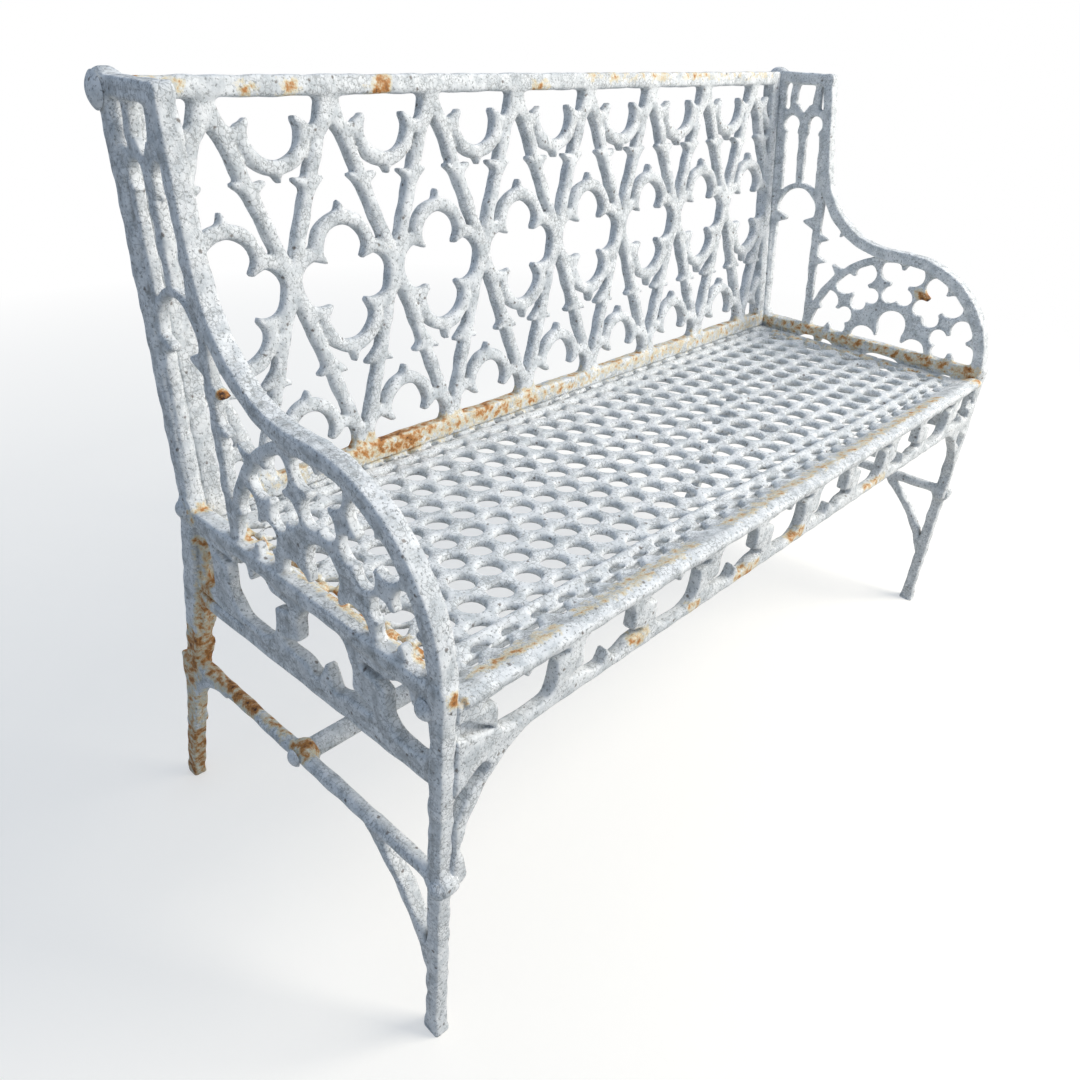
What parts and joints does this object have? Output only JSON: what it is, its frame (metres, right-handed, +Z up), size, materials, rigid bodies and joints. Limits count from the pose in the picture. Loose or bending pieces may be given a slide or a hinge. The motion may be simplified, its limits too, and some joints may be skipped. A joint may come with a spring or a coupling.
{
  "type": "cast iron garden bench",
  "caption": "Bolted cast iron garden bench with a pierced lattice back, winged arms with half-rose tracery, a perforated seat and a pierced front apron.",
  "frame": {"origin": "on the floor, under the middle of the bench's box", "axes": "+X along the bench, +Y from front to rear, +Z up"},
  "size_m": [1.16, 0.503, 0.8361],
  "materials": {
    "painted_iron": "aged white paint on cast iron, pitted and crazed, with rust at joints and edges",
    "fastener_iron": "painted bolt heads with rust breaking through"
  },
  "bodies": {
    "root": {"apron_foot_bolt_left": "fastener_iron", "apron_foot_bolt_right": "fastener_iron", "back_foot_bolt_left": "fastener_iron", "back_foot_bolt_right": "fastener_iron", "back_panel": "painted_iron", "back_top_bolt_left": "fastener_iron", "back_top_bolt_right": "fastener_iron", "end_frame_left": "painted_iron", "end_frame_right": "painted_iron", "front_apron": "painted_iron", "long_stretcher": "painted_iron", "seat_front_bolt_left": "fastener_iron", "seat_front_bolt_right": "fastener_iron", "seat_grille": "painted_iron", "seat_ledge_bolt_left_front": "fastener_iron", "seat_ledge_bolt_left_rear": "fastener_iron", "seat_ledge_bolt_right_front": "fastener_iron", "seat_ledge_bolt_right_rear": "fastener_iron", "seat_ledge_washer_left_front": "fastener_iron", "seat_ledge_washer_left_rear": "fastener_iron", "seat_ledge_washer_right_front": "fastener_iron", "seat_ledge_washer_right_rear": "fastener_iron", "stretcher_bolt_left": "fastener_iron", "stretcher_bolt_right": "fastener_iron"}
  },
  "joints": []
}
